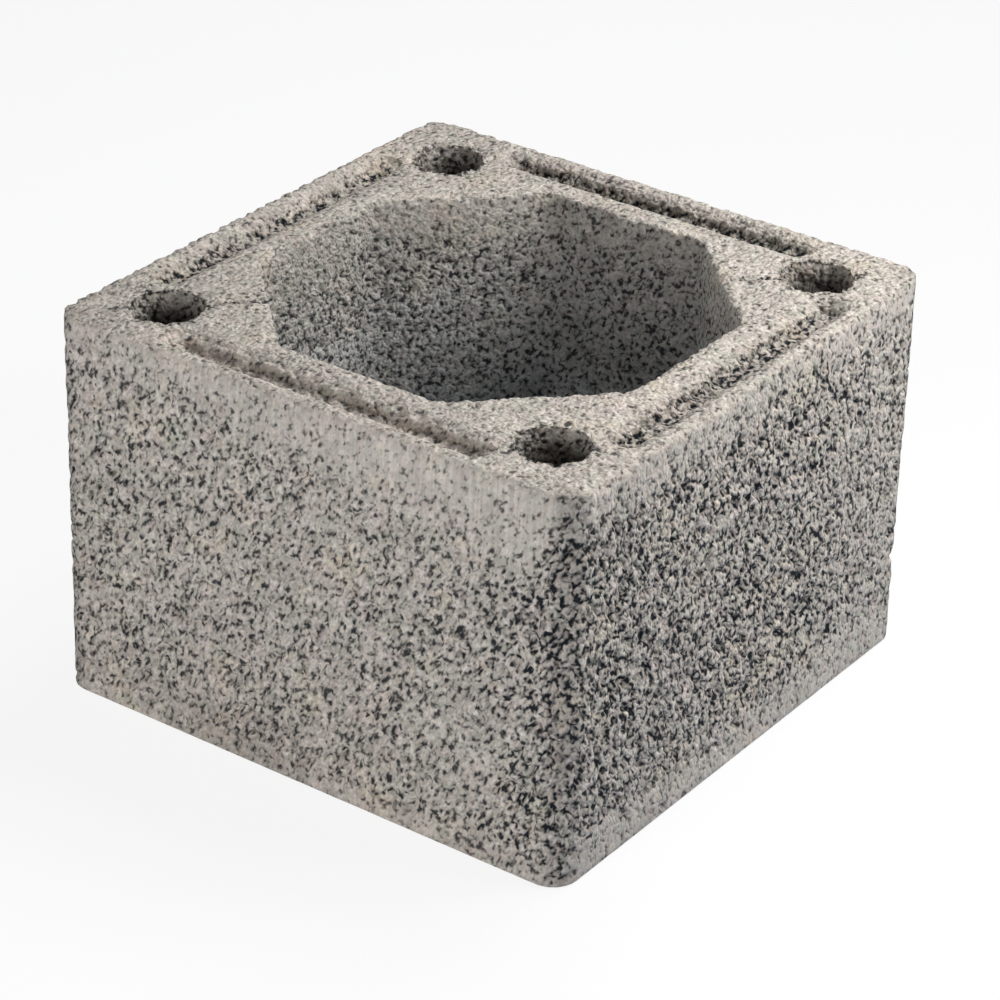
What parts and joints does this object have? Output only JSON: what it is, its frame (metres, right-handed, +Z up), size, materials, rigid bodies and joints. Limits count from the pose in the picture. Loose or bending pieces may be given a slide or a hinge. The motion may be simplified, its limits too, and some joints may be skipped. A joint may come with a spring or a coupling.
{
  "type": "pumice flue block",
  "caption": "Square cast pumice-concrete chimney casing block with an octagonal through flue, round bar holes near its corners and mortar grooves along the top edges.",
  "frame": {"origin": "middle of the bed, the face the block stands on", "axes": "+Z up along the flue, +X and +Y square to the side faces, -Y out of the side seen at the left in the picture"},
  "size_m": [0.36, 0.36, 0.245],
  "materials": {
    "pumice": "rough open-grained pumice concrete, matt, uncoated"
  },
  "bodies": {
    "root": {"flue_block": "pumice"}
  },
  "joints": []
}
